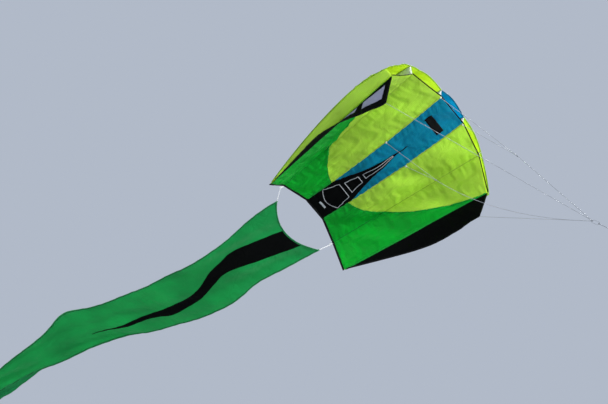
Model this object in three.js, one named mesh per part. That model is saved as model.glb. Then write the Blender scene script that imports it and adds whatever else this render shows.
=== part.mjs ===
// Small frameless parafoil kite: five open-nosed cells between six ribs, two side fins,
// a bridle that meets in a tow loop, a short piece of flying line and a long streamer tail.
// Millimetres. +X is the nose (upwind), +Y the kite's left, +Z up.
// The origin is where the flying line pulls on the tow loop.
import * as THREE from 'three';

// ---- Driving dimensions -------------------------------------------------------------------

// Middle of the wing in the part's frame.
const WING_PLACE = new THREE.Vector3(-609, 0, 1242);

// Seam line at the foot of each rib, from the middle of the wing outwards: the nose end and
// the tail end, as x, distance from the middle plane, z.
const RIB_FEET = [
  { nose: [319, 75, -4], tail: [-319, 55, -5] },
  { nose: [289, 225, -6], tail: [-348, 163, -9] },
  { nose: [238, 324, -102], tail: [-373, 243, -85] },
];
const RIB_COUNT = 6;

const CLOTH = 1.0; // thickness that stands for every layer of ripstop
const GAP = 0.35; // clearance between neighbouring pieces

// Section of a cell above the line through the rib's foot.
const CREST_HEIGHT = 62;
const CREST_CHORD = 0.28;
const INTAKE_HEIGHT = 36;
const TAIL_HEIGHT = 2.8;
const UPPER_LIP_LEAD = 12; // at every rib but the tips
const LIP_SCALLOP = 9; // how far the upper lip bows forward between two ribs
const TIP_SCALLOP = 3;
const LIP_SCALLOP_SHARE = 0.3;
const BELLY_PILLOW = 9; // how far the lower cloth billows between two ribs
const BACK_PILLOW = 16; // how far the upper cloth billows between two ribs
const BELLY_LIP_SHARE = 0.12; // how near each lip is to the fullest billow
const BACK_LIP_SHARE = 0.3;
const FOOT_BOW = 16; // how far the bridle draws the two inner ribs down at mid chord

// Curved seam between the front (lime) and rear (green) cloth of the belly.
const SEAM_CHORD = 0.84;
const SEAM_POWER = 2.2;
const SEAM_FALL = 0.65;

// Black spine that widens from a point to the whole middle cell.
const SPINE_TIP = 0.32;
const SPINE_FULL = 0.82;
const SPINE_POWER = 1.8;

// Side fins, hung from the foot of each tip rib: corner place along the rib and its depth.
const FIN_CORNER_CHORD = 0.11;
const FIN_DEPTH = 127;
const FIN_EDGE_BELLY = 6;
const FIN_SPLAY = THREE.MathUtils.degToRad(47);
const FIN_SPLAY_RUN = 0.55;
const FIN_SPLAY_POWER = 1.5;

// Coloured panes on the outer face of a fin: corners as share of the rib, depth.
const FRONT_PANE = [[0.06, 20], [0.12, 85], [0.265, 60], [0.24, 10]];
const REAR_PANE = [[0.283, 10], [0.308, 50], [0.43, 14], [0.44, 8]];
const PANE_CLOTH = 0.5;
const PANE_CLEAR = 0.8;

const HEM_WIDTH = 8;
const LIP_BINDING_WIDTH = 4;

// Bridle, measured from the middle of the wing.
const TOW_KNOT = new THREE.Vector3(593, 0, -1200);
const LINE_LEAN = THREE.MathUtils.degToRad(20.5);
const FRONT_FORK = new THREE.Vector3(462, 0, -554);
const REAR_FORK = new THREE.Vector3(150, 0, -352);
const REAR_TAB_CHORD = 0.418;
const REAR_LINE_SLACK = 46;
const BRIDLE_DIAMETER = 1.6;
const KNOT_RADIUS = 2.6;
const LINE_DIAMETER = 1.4;
const LINE_LENGTH = 150;
const LINE_RING_RADIUS = 3.4;
const LINE_RING_SHIFT = 0.6;

// Tail: two cords to the trailing edge, then a tapering streamer in four lengths.
const TAIL_CORD_DIAMETER = 3.4;
const TAIL_SETBACK = 57;
const TAIL_DROP = 25;
const TAIL_RUN = 1690;
const TAIL_WIDTH = 284;
const TAIL_END_WIDTH = 14;
const TAIL_TAPER_POWER = 1.6;
const TAIL_FRONT_HOLLOW = 55;
const TAIL_CLOTH = 1.4;
const TAIL_LIFT = 355;
const TAIL_LIFT_START = 310;
const TAIL_LIFT_RUN = 720;
const TAIL_SWAY = 26;
const TAIL_SWAY_RUN = 1090;
const TAIL_WAIST = 19; // how far the edges draw in behind the front corners
const TAIL_WAIST_RUN = 240;
const TAIL_FLARE_OUT = 22; // one flutter of the right edge: outwards and up
const TAIL_FLARE_UP = 34;
const TAIL_FLARE_RUN = 1000;
const TAIL_BREAKS = [0, 430, 850, 1270, TAIL_RUN];
const TAIL_BREAK_GAP = 1.6;

// ---- Materials ----------------------------------------------------------------------------

function cloth(name, color, roughness = 0.62) {
  return new THREE.MeshStandardMaterial({ name, color, roughness, metalness: 0, side: THREE.DoubleSide });
}

const LIME = cloth('lime_ripstop', 0x9fd437);
const GREEN = cloth('green_ripstop', 0x0f9c33);
const BLUE = cloth('blue_ripstop', 0x0085a6);
const BLACK = cloth('black_ripstop', 0x101312);
const WHITE = cloth('white_ripstop', 0xdfe3dd, 0.7);
const PANE = cloth('grey_ripstop', 0x9898ae);
const TAIL_GREEN = cloth('tail_ripstop', 0x2a9a52);
const BRIDLE_CORD = cloth('pale_cord', 0xc9cdd0, 0.8);
const FLYING_CORD = cloth('dark_cord', 0x30343c, 0.8);

// ---- Small helpers ------------------------------------------------------------------------

const kite = new THREE.Group();
const wing = new THREE.Group();
wing.position.copy(WING_PLACE);
kite.add(wing);

function add(name, geometry, material) {
  const mesh = new THREE.Mesh(geometry, material);
  mesh.name = name;
  wing.add(mesh);
  return mesh;
}

const mix = (a, b, t) => a + (b - a) * t;
const smooth = (t) => {
  const s = THREE.MathUtils.clamp(t, 0, 1);
  return s * s * (3 - 2 * s);
};

// A closed sheet between two surfaces over a grid. outer and inner give a point for whole
// grid numbers i, j; keep leaves cells out, which makes a notch.
function closedSheet(outer, inner, columns, rows, keep = () => true) {
  const places = [];
  const numbers = new Map();
  const vertex = (side, i, j) => {
    const key = `${side} ${i} ${j}`;
    if (!numbers.has(key)) {
      numbers.set(key, places.length / 3);
      const point = side === 'outer' ? outer(i, j) : inner(i, j);
      places.push(point.x, point.y, point.z);
    }
    return numbers.get(key);
  };
  const faces = [];
  const quad = (a, b, c, d) => faces.push(a, b, c, a, c, d);
  const kept = (i, j) => i >= 0 && j >= 0 && i < columns && j < rows && keep(i, j);
  const wall = (i0, j0, i1, j1) => {
    quad(vertex('outer', i1, j1), vertex('outer', i0, j0), vertex('inner', i0, j0), vertex('inner', i1, j1));
  };
  for (let i = 0; i < columns; i += 1) {
    for (let j = 0; j < rows; j += 1) {
      if (kept(i, j)) {
        quad(vertex('outer', i, j), vertex('outer', i + 1, j),
          vertex('outer', i + 1, j + 1), vertex('outer', i, j + 1));
        quad(vertex('inner', i, j + 1), vertex('inner', i + 1, j + 1),
          vertex('inner', i + 1, j), vertex('inner', i, j));
        if (!kept(i, j - 1)) wall(i, j, i + 1, j);
        if (!kept(i, j + 1)) wall(i + 1, j + 1, i, j + 1);
        if (!kept(i - 1, j)) wall(i, j + 1, i, j);
        if (!kept(i + 1, j)) wall(i + 1, j, i + 1, j + 1);
      }
    }
  }
  return facingOut(places, faces);
}

// Turns the triangles round when they enclose a negative volume.
function facingOut(places, faces) {
  const at = (n) => new THREE.Vector3(places[3 * n], places[3 * n + 1], places[3 * n + 2]);
  const origin = at(faces[0]);
  let volume = 0;
  for (let f = 0; f < faces.length; f += 3) {
    const [a, b, c] = [at(faces[f]), at(faces[f + 1]), at(faces[f + 2])].map((p) => p.sub(origin));
    volume += a.dot(b.cross(c));
  }
  const turned = volume < 0 ? faces.map((_, n) => faces[n - (n % 3) + (2 - (n % 3))]) : faces;
  const geometry = new THREE.BufferGeometry();
  geometry.setAttribute('position', new THREE.Float32BufferAttribute(places, 3));
  geometry.setIndex(turned);
  geometry.computeVertexNormals();
  return geometry;
}

function roundSection(radius, sides) {
  const shape = new THREE.Shape();
  for (let n = 0; n < sides; n += 1) {
    const angle = (2 * Math.PI * n) / sides;
    const x = radius * Math.cos(angle);
    const y = radius * Math.sin(angle);
    if (n === 0) shape.moveTo(x, y);
    else shape.lineTo(x, y);
  }
  shape.closePath();
  return shape;
}

function cordAlong(curve, diameter, steps) {
  return new THREE.ExtrudeGeometry(roundSection(diameter / 2, 8), { steps, extrudePath: curve });
}

// A straight cord between two points, stopping short of each by the given clearance.
function tautCord(from, to, diameter, startClear, endClear, steps = 8) {
  const along = to.clone().sub(from).normalize();
  const start = from.clone().addScaledVector(along, startClear);
  const end = to.clone().addScaledVector(along, -endClear);
  return cordAlong(new THREE.LineCurve3(start, end), diameter, steps);
}

// A closed loop of cord in the XZ plane: two straight sides joined by round ends.
function stadiumLoop(centre, direction, length, width, diameter) {
  const across = new THREE.Vector3(-direction.z, 0, direction.x);
  const endRadius = width / 2;
  const reach = length / 2 - endRadius;
  const endSteps = 8;
  const rim = [];
  for (let n = 0; n <= endSteps; n += 1) {
    rim.push([1, -Math.PI / 2 + (Math.PI * n) / endSteps]);
  }
  for (let n = 0; n <= endSteps; n += 1) {
    rim.push([-1, Math.PI / 2 + (Math.PI * n) / endSteps]);
  }
  const sides = 6;
  const places = [];
  rim.forEach(([end, angle]) => {
    const outward = direction.clone().multiplyScalar(Math.cos(angle));
    outward.addScaledVector(across, Math.sin(angle));
    const middle = centre.clone().addScaledVector(direction, end * reach);
    middle.addScaledVector(outward, endRadius);
    for (let s = 0; s < sides; s += 1) {
      const turn = (2 * Math.PI * s) / sides;
      const point = middle.clone().addScaledVector(outward, (diameter / 2) * Math.cos(turn));
      point.y += (diameter / 2) * Math.sin(turn);
      places.push(point.x, point.y, point.z);
    }
  });
  const faces = [];
  for (let r = 0; r < rim.length; r += 1) {
    const next = (r + 1) % rim.length;
    for (let s = 0; s < sides; s += 1) {
      const other = (s + 1) % sides;
      const [a, b, c, d] = [r * sides + s, next * sides + s, next * sides + other, r * sides + other];
      faces.push(a, b, c, a, c, d);
    }
  }
  return facingOut(places, faces);
}

// ---- Wing shape ---------------------------------------------------------------------------

// Rib numbers run from 0 at the right tip to 5 at the left tip; offset 0 is the middle plane.
const MIDDLE = (RIB_COUNT - 1) / 2;

function ribFoot(rib) {
  const offset = rib - MIDDLE;
  const side = Math.sign(offset);
  const { nose, tail } = RIB_FEET[Math.abs(offset) - 0.5];
  return {
    nose: new THREE.Vector3(nose[0], side * nose[1], nose[2]),
    tail: new THREE.Vector3(tail[0], side * tail[1], tail[2]),
  };
}

const FEET = Array.from({ length: RIB_COUNT }, (_, rib) => ribFoot(rib));

const CELL_UPS = FEET.slice(1).map((foot, cell) => {
  const across = foot.nose.clone().add(foot.tail).sub(FEET[cell].nose).sub(FEET[cell].tail);
  const back = FEET[cell].tail.clone().sub(FEET[cell].nose);
  return across.cross(back).normalize();
});

const RIB_UPS = FEET.map((_, rib) => {
  const inner = CELL_UPS[Math.max(rib - 1, 0)];
  const outer = CELL_UPS[Math.min(rib, CELL_UPS.length - 1)];
  return inner.clone().add(outer).normalize();
});

// Upright direction anywhere along the span.
function upAt(span) {
  const rib = THREE.MathUtils.clamp(Math.floor(span), 0, RIB_COUNT - 2);
  return RIB_UPS[rib].clone().lerp(RIB_UPS[rib + 1], span - rib).normalize();
}

// Height of the upper cloth over the rib's foot line.
function sectionHeight(chord) {
  if (chord < CREST_CHORD) {
    const t = (CREST_CHORD - chord) / CREST_CHORD;
    return CREST_HEIGHT - (CREST_HEIGHT - INTAKE_HEIGHT) * t * t;
  }
  const t = (chord - CREST_CHORD) / (1 - CREST_CHORD);
  return CREST_HEIGHT - (CREST_HEIGHT - TAIL_HEIGHT) * t ** 1.7;
}

function footPoint(rib, chord) {
  const drawn = Math.abs(rib - MIDDLE) < 1 ? FOOT_BOW * 4 * chord * (1 - chord) : 0;
  return FEET[rib].nose.clone().lerp(FEET[rib].tail, chord).add(new THREE.Vector3(0, 0, -drawn));
}

function ribTopPoint(rib, chord) {
  const isTip = rib === 0 || rib === RIB_COUNT - 1;
  const lead = isTip ? 0 : UPPER_LIP_LEAD / FEET[rib].nose.distanceTo(FEET[rib].tail);
  const point = FEET[rib].nose.clone().lerp(FEET[rib].tail, chord * (1 + lead) - lead);
  return point.addScaledVector(RIB_UPS[rib], sectionHeight(chord));
}

// Billow between two ribs: none at a rib or the trailing edge, some at the lip.
function billow(across, chord, lipShare) {
  return 4 * across * (1 - across) * Math.sin(Math.PI * (lipShare + (1 - lipShare) * chord));
}

function bellyPoint(span, chord) {
  const rib = THREE.MathUtils.clamp(Math.floor(span), 0, RIB_COUNT - 2);
  const across = span - rib;
  const point = footPoint(rib, chord).lerp(footPoint(rib + 1, chord), across);
  return point.addScaledVector(upAt(span), -BELLY_PILLOW * billow(across, chord, BELLY_LIP_SHARE));
}

function backPoint(span, chord) {
  const rib = THREE.MathUtils.clamp(Math.floor(span), 0, RIB_COUNT - 2);
  const across = span - rib;
  const point = ribTopPoint(rib, chord).lerp(ribTopPoint(rib + 1, chord), across);
  const front = Math.max(0, 1 - chord / LIP_SCALLOP_SHARE);
  const scallop = rib === 0 || rib === RIB_COUNT - 2 ? TIP_SCALLOP : LIP_SCALLOP;
  point.x += scallop * 4 * across * (1 - across) * front * front;
  return point.addScaledVector(upAt(span), BACK_PILLOW * billow(across, chord, BACK_LIP_SHARE));
}

const SEAM_SPAN_GAP = GAP / 2 / 110;
const SEAM_CHORD_GAP = GAP / 2 / 600;

function bellySeam(span) {
  const reach = Math.min(Math.abs(span - MIDDLE) / MIDDLE, 1);
  return SEAM_CHORD * (1 - reach ** SEAM_POWER) ** SEAM_FALL;
}

function spineHalfWidth(chord) {
  const t = THREE.MathUtils.clamp((chord - SPINE_TIP) / (SPINE_FULL - SPINE_TIP), 0, 1);
  return 0.5 * t ** SPINE_POWER;
}

function bellySheet(place, columns, rows, keep) {
  const outer = (i, j) => bellyPoint(...place(i, j));
  const inner = (i, j) => {
    const [span, chord] = place(i, j);
    return bellyPoint(span, chord).addScaledVector(upAt(span), CLOTH);
  };
  return closedSheet(outer, inner, columns, rows, keep);
}

// ---- Belly: two lime and two green pieces each side, blue middle, black spine ---------------

const SIDE_CELLS = [0, 1, 3, 4];
const CELL_NAMES = ['right_outer', 'right_inner', 'middle', 'left_inner', 'left_outer'];

function sideSpan(cell, t) {
  const isOuter = cell === 0 || cell === 4;
  const spread = isOuter ? Math.sin((Math.PI / 2) * t) : t;
  const start = cell + SEAM_SPAN_GAP;
  const end = cell + 1 - SEAM_SPAN_GAP;
  return cell < 2 ? mix(end, start, spread) : mix(start, end, spread);
}

for (const cell of SIDE_CELLS) {
  const columns = 6;
  const rows = 7;
  add(`belly_lime_${CELL_NAMES[cell]}`, bellySheet((i, j) => {
    const span = sideSpan(cell, i / columns);
    return [span, (bellySeam(span) - SEAM_CHORD_GAP) * (j / rows)];
  }, columns, rows), LIME);
  add(`belly_green_${CELL_NAMES[cell]}`, bellySheet((i, j) => {
    const span = sideSpan(cell, i / columns);
    return [span, mix(bellySeam(span) + SEAM_CHORD_GAP, 1, j / rows)];
  }, columns, rows), GREEN);
}

function addMiddleBelly() {
  const half = 0.5 - SEAM_SPAN_GAP;
  const slot = 0.006;
  const sideColumns = 3;
  const columns = 2 * sideColumns + 2;
  const frontRows = 4;
  const rearRows = 6;
  const rows = frontRows + rearRows;
  const blueEnd = SPINE_FULL - 0.006;
  const chordAt = (j) => (j <= frontRows
    ? (SPINE_TIP - 0.01) * (j / frontRows)
    : mix(SPINE_TIP - 0.01, blueEnd, (j - frontRows) / rearRows));
  const bluePlace = (i, j) => {
    const chord = chordAt(j);
    const edge = spineHalfWidth(chord) + slot / 2;
    if (i <= sideColumns) return [MIDDLE + mix(-half, -edge, i / sideColumns), chord];
    if (i === sideColumns + 1) return [MIDDLE, chord];
    return [MIDDLE + mix(edge, half, (i - sideColumns - 2) / sideColumns), chord];
  };
  const isSpineSlot = (i, j) => j >= frontRows && (i === sideColumns || i === sideColumns + 1);
  add('belly_blue_middle', bellySheet(bluePlace, columns, rows, (i, j) => !isSpineSlot(i, j)), BLUE);

  const taperRows = 7;
  const squareRows = 2;
  const spineColumns = 4;
  const spinePlace = (i, j) => {
    const chord = j <= taperRows
      ? mix(SPINE_TIP + 0.03, SPINE_FULL, j / taperRows)
      : mix(SPINE_FULL, 1, (j - taperRows) / squareRows);
    const edge = Math.min(spineHalfWidth(chord), half) - slot / 2;
    return [MIDDLE + mix(-edge, edge, i / spineColumns), chord];
  };
  add('belly_black_spine', bellySheet(spinePlace, spineColumns, taperRows + squareRows), BLACK);
}
addMiddleBelly();

// ---- Back: one piece of cloth over each cell ------------------------------------------------

CELL_NAMES.forEach((cellName, cell) => {
  const columns = 6;
  const rows = 12;
  const place = (i, j) => {
    const span = mix(cell + SEAM_SPAN_GAP, cell + 1 - SEAM_SPAN_GAP, i / columns);
    return [span, (j / rows) ** 1.2];
  };
  const outer = (i, j) => backPoint(...place(i, j));
  const inner = (i, j) => {
    const [span, chord] = place(i, j);
    return backPoint(span, chord).addScaledVector(upAt(span), -CLOTH);
  };
  add(`back_${cellName}`, closedSheet(outer, inner, columns, rows), cell === 2 ? BLUE : LIME);
});

// ---- Ribs: flat sheets between belly and back, lime at the tips -------------------------------

FEET.forEach((foot, rib) => {
  const stations = 14;
  const lastChord = 0.93;
  const isTip = rib === 0 || rib === RIB_COUNT - 1;
  const clear = CLOTH + GAP + 0.2;
  const sideways = new THREE.Vector3().subVectors(foot.tail, foot.nose).normalize().cross(RIB_UPS[rib]);
  const place = (i, j, side) => {
    const chord = lastChord * (i / stations);
    const low = footPoint(rib, chord).addScaledVector(RIB_UPS[rib], clear);
    const high = ribTopPoint(rib, chord).addScaledVector(RIB_UPS[rib], -clear);
    return low.lerp(high, j).addScaledVector(sideways, side * (CLOTH / 2));
  };
  add(`rib_${rib + 1}`, closedSheet((i, j) => place(i, j, 1), (i, j) => place(i, j, -1), stations, 1), isTip ? LIME : WHITE);
});

// ---- Hem along the trailing edge and binding along the lower lip -----------------------------

function edgeBand(name, edgePoint, forward, width, thickness, material) {
  const ahead = new THREE.Vector3(forward, 0, 0);
  const place = (i, j, height) => {
    const point = edgePoint(i).addScaledVector(ahead, GAP + width * j);
    return point.addScaledVector(RIB_UPS[i], height);
  };
  const columns = RIB_COUNT - 1;
  add(name, closedSheet((i, j) => place(i, j, 0), (i, j) => place(i, j, thickness), columns, 1), material);
}

edgeBand('trailing_hem', (rib) => footPoint(rib, 1), -1, HEM_WIDTH, TAIL_HEIGHT, BLACK);

function addLipBinding() {
  const columns = 30;
  const place = (i, j, height) => {
    const span = 5 * (i / columns);
    const point = bellyPoint(span, 0).addScaledVector(new THREE.Vector3(1, 0, 0), GAP + LIP_BINDING_WIDTH * j);
    return point.addScaledVector(upAt(span), height);
  };
  const sheet = closedSheet((i, j) => place(i, j, 0), (i, j) => place(i, j, CLOTH), columns, 1);
  add('lower_lip_binding', sheet, BLACK);
}
addLipBinding();

// ---- Side fins and their panes ----------------------------------------------------------------

function finSplay(share) {
  const t = THREE.MathUtils.clamp((share - FIN_CORNER_CHORD) / FIN_SPLAY_RUN, 0, 1);
  return FIN_SPLAY * Math.sin((Math.PI / 2) * t ** FIN_SPLAY_POWER);
}

function finHang(share, side) {
  const splay = finSplay(share);
  return new THREE.Vector3(0, side * Math.sin(splay), -Math.cos(splay));
}

function finOut(share, side) {
  const splay = finSplay(share);
  return new THREE.Vector3(0, side * Math.cos(splay), Math.sin(splay));
}

function finPoint(rib, share, depth) {
  const side = Math.sign(rib - MIDDLE);
  return footPoint(rib, share).addScaledVector(finHang(share, side), depth);
}

function finDepth(share) {
  if (share < FIN_CORNER_CHORD) return FIN_DEPTH * (share / FIN_CORNER_CHORD);
  const t = (share - FIN_CORNER_CHORD) / (1 - FIN_CORNER_CHORD);
  return FIN_DEPTH * (1 - t) + FIN_EDGE_BELLY * Math.sin(Math.PI * t);
}

function addFin(rib, sideName) {
  const side = Math.sign(rib - MIDDLE);
  const frontColumns = 3;
  const rearColumns = 18;
  const rows = 5;
  const top = 1.4;
  const shareAt = (i) => (i <= frontColumns
    ? mix(0.006, FIN_CORNER_CHORD, i / frontColumns)
    : mix(FIN_CORNER_CHORD, 0.985, ((i - frontColumns) / rearColumns) ** 1.3));
  const face = (i, j, out) => {
    const share = shareAt(i);
    const depth = mix(top, Math.max(finDepth(share), top + 2), j / rows);
    return finPoint(rib, share, depth).addScaledVector(finOut(share, side), out);
  };
  const columns = frontColumns + rearColumns;
  const sheet = closedSheet((i, j) => face(i, j, CLOTH / 2), (i, j) => face(i, j, -CLOTH / 2), columns, rows);
  add(`fin_${sideName}`, sheet, BLACK);

  const addPane = (name, corners) => {
    const paneFace = (i, j, out) => {
      const [a, b, c, d] = corners;
      const share = mix(mix(a[0], d[0], i / 8), mix(b[0], c[0], i / 8), j / 4);
      const depth = mix(mix(a[1], d[1], i / 8), mix(b[1], c[1], i / 8), j / 4);
      return finPoint(rib, share, depth).addScaledVector(finOut(share, side), out);
    };
    const near = CLOTH / 2 + PANE_CLEAR;
    const pane = closedSheet((i, j) => paneFace(i, j, near), (i, j) => paneFace(i, j, near + PANE_CLOTH), 8, 4);
    add(name, pane, PANE);
  };
  addPane(`fin_pane_front_${sideName}`, FRONT_PANE);
  addPane(`fin_pane_rear_${sideName}`, REAR_PANE);
}
addFin(0, 'right');
addFin(RIB_COUNT - 1, 'left');

// ---- Tabs that the lines are tied to ----------------------------------------------------------

function addTab(name, middle, size, material = WHITE) {
  const tab = add(name, new THREE.BoxGeometry(...size), material);
  tab.position.copy(middle);
  return tab;
}

const FRONT_TAB = [6, 1.4, 9];
const REAR_TAB = [6, 1.4, 12];
const TAIL_TAB = [12, 7, 1.4];
const TAB_DROP = 1.2;
const SIDES = [['right', -1], ['left', 1]];
const innerRib = (side) => MIDDLE + side * 0.5;
const tailRib = (side) => MIDDLE + side * 1.5;

const frontTabEnds = {};
const rearTabEnds = {};
const tailTabEnds = {};
for (const [sideName, side] of SIDES) {
  const lip = footPoint(innerRib(side), 0).add(new THREE.Vector3(-FRONT_TAB[0] / 2, 0, 0));
  const frontMiddle = lip.clone().add(new THREE.Vector3(0, 0, -TAB_DROP - FRONT_TAB[2] / 2));
  addTab(`front_tab_${sideName}`, frontMiddle, FRONT_TAB);
  frontTabEnds[sideName] = frontMiddle.clone().add(new THREE.Vector3(0, 0, -FRONT_TAB[2] / 2));

  const rearSeam = footPoint(innerRib(side), REAR_TAB_CHORD);
  const rearMiddle = rearSeam.clone().add(new THREE.Vector3(0, 0, -TAB_DROP - REAR_TAB[2] / 2));
  addTab(`rear_tab_${sideName}`, rearMiddle, REAR_TAB);
  rearTabEnds[sideName] = rearMiddle.clone().add(new THREE.Vector3(0, 0, -REAR_TAB[2] / 2));

  const tailSeam = footPoint(tailRib(side), 1).add(new THREE.Vector3(-HEM_WIDTH - 2 * GAP, 0, 1.4));
  const tailMiddle = tailSeam.clone().add(new THREE.Vector3(-TAIL_TAB[0] / 2 - 1.2, 0, 0));
  addTab(`tail_tab_${sideName}`, tailMiddle, TAIL_TAB);
  tailTabEnds[sideName] = tailMiddle.clone().add(new THREE.Vector3(-TAIL_TAB[0] / 2, 0, 0));
}

// ---- Bridle -------------------------------------------------------------------------------------

const LINE_DIRECTION = new THREE.Vector3(Math.sin(LINE_LEAN), 0, -Math.cos(LINE_LEAN));
const KNOT_CLEAR = KNOT_RADIUS + GAP;

function addKnot(name, place, material = BRIDLE_CORD) {
  const knot = add(name, new THREE.SphereGeometry(KNOT_RADIUS, 10, 6), material);
  knot.position.copy(place);
}

// Where a line from one side enters a knot, a little off its middle.
function knotSide(place, side) {
  return place.clone().add(new THREE.Vector3(0, side * 1.2, 0));
}

function addBridleCord(name, from, to, startClear) {
  add(name, tautCord(from, to, BRIDLE_DIAMETER, startClear, KNOT_CLEAR), BRIDLE_CORD);
}

for (const [sideName, side] of SIDES) {
  addBridleCord(`front_leg_${sideName}`, frontTabEnds[sideName], knotSide(FRONT_FORK, side), 1);
  addBridleCord(`rear_leg_${sideName}`, rearTabEnds[sideName], knotSide(REAR_FORK, side), 1);
  const corner = finPoint(side < 0 ? 0 : RIB_COUNT - 1, FIN_CORNER_CHORD, FIN_DEPTH);
  addBridleCord(`fin_line_${sideName}`, corner, knotSide(TOW_KNOT, side), 2.2);
}
addBridleCord('front_line', FRONT_FORK, TOW_KNOT, KNOT_CLEAR);

// The rear line hangs slack between its fork and the tow knot.
function addRearLine() {
  const along = TOW_KNOT.clone().sub(REAR_FORK).normalize();
  const start = REAR_FORK.clone().addScaledVector(along, KNOT_CLEAR);
  const end = TOW_KNOT.clone().addScaledVector(along, -KNOT_CLEAR - 0.6);
  end.x -= 1.6;
  const points = [];
  const count = 9;
  for (let n = 0; n <= count; n += 1) {
    const t = n / count;
    const point = start.clone().lerp(end, t);
    const slack = REAR_LINE_SLACK * 4 * t * (1 - t);
    points.push(point.add(new THREE.Vector3(-0.85 * slack, 0, -0.5 * slack)));
  }
  add('rear_line', cordAlong(new THREE.CatmullRomCurve3(points), BRIDLE_DIAMETER, 30), BRIDLE_CORD);
}
addRearLine();

addKnot('front_fork_knot', FRONT_FORK);
addKnot('rear_fork_knot', REAR_FORK);
addKnot('tow_knot', TOW_KNOT);

// Loop from the tow knot to the origin, then the end of the flying line linked through it.
const ORIGIN = WING_PLACE.clone().negate();
const LOOP_WIDTH = 12;
const LOOP_DIAMETER = 1.2;

function addTowLoopAndLine() {
  const loopStart = TOW_KNOT.clone().addScaledVector(LINE_DIRECTION, KNOT_CLEAR + LOOP_DIAMETER / 2);
  const loopLength = ORIGIN.clone().sub(loopStart).dot(LINE_DIRECTION);
  const loopMiddle = loopStart.clone().addScaledVector(LINE_DIRECTION, loopLength / 2);
  add('tow_loop', stadiumLoop(loopMiddle, LINE_DIRECTION, loopLength, LOOP_WIDTH, LOOP_DIAMETER), BRIDLE_CORD);

  const ring = add('line_hitch', new THREE.TorusGeometry(LINE_RING_RADIUS, LINE_DIAMETER / 2, 6, 14), FLYING_CORD);
  ring.rotation.set(0, Math.PI / 2 - LINE_LEAN, 0);
  ring.position.copy(ORIGIN).addScaledVector(LINE_DIRECTION, LINE_RING_SHIFT);

  const ringReach = LINE_RING_SHIFT + LINE_RING_RADIUS + LINE_DIAMETER / 2;
  const lineStart = ORIGIN.clone().addScaledVector(LINE_DIRECTION, ringReach + GAP);
  const lineEnd = lineStart.clone().addScaledVector(LINE_DIRECTION, LINE_LENGTH);
  add('flying_line', cordAlong(new THREE.LineCurve3(lineStart, lineEnd), LINE_DIAMETER, 10), FLYING_CORD);

  const endKnot = lineEnd.clone().addScaledVector(LINE_DIRECTION, KNOT_CLEAR);
  addKnot('line_end_knot', endKnot, FLYING_CORD);
  const endLoopMiddle = endKnot.clone().addScaledVector(LINE_DIRECTION, KNOT_CLEAR + LINE_DIAMETER / 2 + 15);
  add('line_end_loop', stadiumLoop(endLoopMiddle, LINE_DIRECTION, 30, LOOP_WIDTH, LINE_DIAMETER), FLYING_CORD);
}
addTowLoopAndLine();

// ---- Tail -----------------------------------------------------------------------------------------

const TAIL_START = footPoint(tailRib(1), 1).setY(0).add(new THREE.Vector3(-TAIL_SETBACK, 0, -TAIL_DROP));

function tailWidth(run) {
  return Math.max(TAIL_WIDTH * (1 - (run / TAIL_RUN) ** TAIL_TAPER_POWER), TAIL_END_WIDTH);
}

function tailLift(run) {
  return TAIL_LIFT * smooth((run - TAIL_LIFT_START) / TAIL_LIFT_RUN);
}

function tailSway(run) {
  return -TAIL_SWAY * Math.sin((2 * Math.PI * run) / TAIL_SWAY_RUN) + 10 * smooth(run / 250);
}

function tailPoint(run, share) {
  const reach = 4 * share * share;
  const waist = Math.sign(share) * reach * Math.exp(-(((run - TAIL_WAIST_RUN) / 130) ** 2));
  const flare = share < 0 ? reach * Math.exp(-(((run - TAIL_FLARE_RUN) / 80) ** 2)) : 0;
  const y = tailSway(run) + share * tailWidth(run) - TAIL_WAIST * waist - TAIL_FLARE_OUT * flare;
  return TAIL_START.clone().add(new THREE.Vector3(-run, y, tailLift(run) + TAIL_FLARE_UP * flare));
}

function tailNormal(run) {
  const slope = (tailLift(run + 1) - tailLift(run - 1)) / 2;
  return new THREE.Vector3(slope, 0, 1).normalize();
}

function addTailLength(number) {
  const first = number === 1;
  const last = number === TAIL_BREAKS.length - 1;
  const start = TAIL_BREAKS[number - 1] + (first ? 0 : TAIL_BREAK_GAP / 2);
  const end = TAIL_BREAKS[number] - (last ? 0 : TAIL_BREAK_GAP / 2);
  const columns = 9;
  const rows = 6;
  const face = (i, j, height) => {
    const share = j / rows - 0.5;
    const hollow = first ? TAIL_FRONT_HOLLOW * (1 - (2 * share) ** 2) : 0;
    const run = mix(start + hollow, end, i / columns);
    return tailPoint(run, share).addScaledVector(tailNormal(run), height);
  };
  const half = TAIL_CLOTH / 2;
  const sheet = closedSheet((i, j) => face(i, j, half), (i, j) => face(i, j, -half), columns, rows);
  add(`tail_length_${number}`, sheet, TAIL_GREEN);
}

for (let number = 1; number < TAIL_BREAKS.length; number += 1) addTailLength(number);

for (const [sideName, side] of SIDES) {
  const corner = tailPoint(0, side * 0.5);
  const cord = tautCord(tailTabEnds[sideName], corner, TAIL_CORD_DIAMETER, 1.4, 2.6, 6);
  add(`tail_cord_${sideName}`, cord, BRIDLE_CORD);
}

export default kite;
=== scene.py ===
import math

import bpy
import numpy as np
from mathutils import Matrix, Vector


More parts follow.
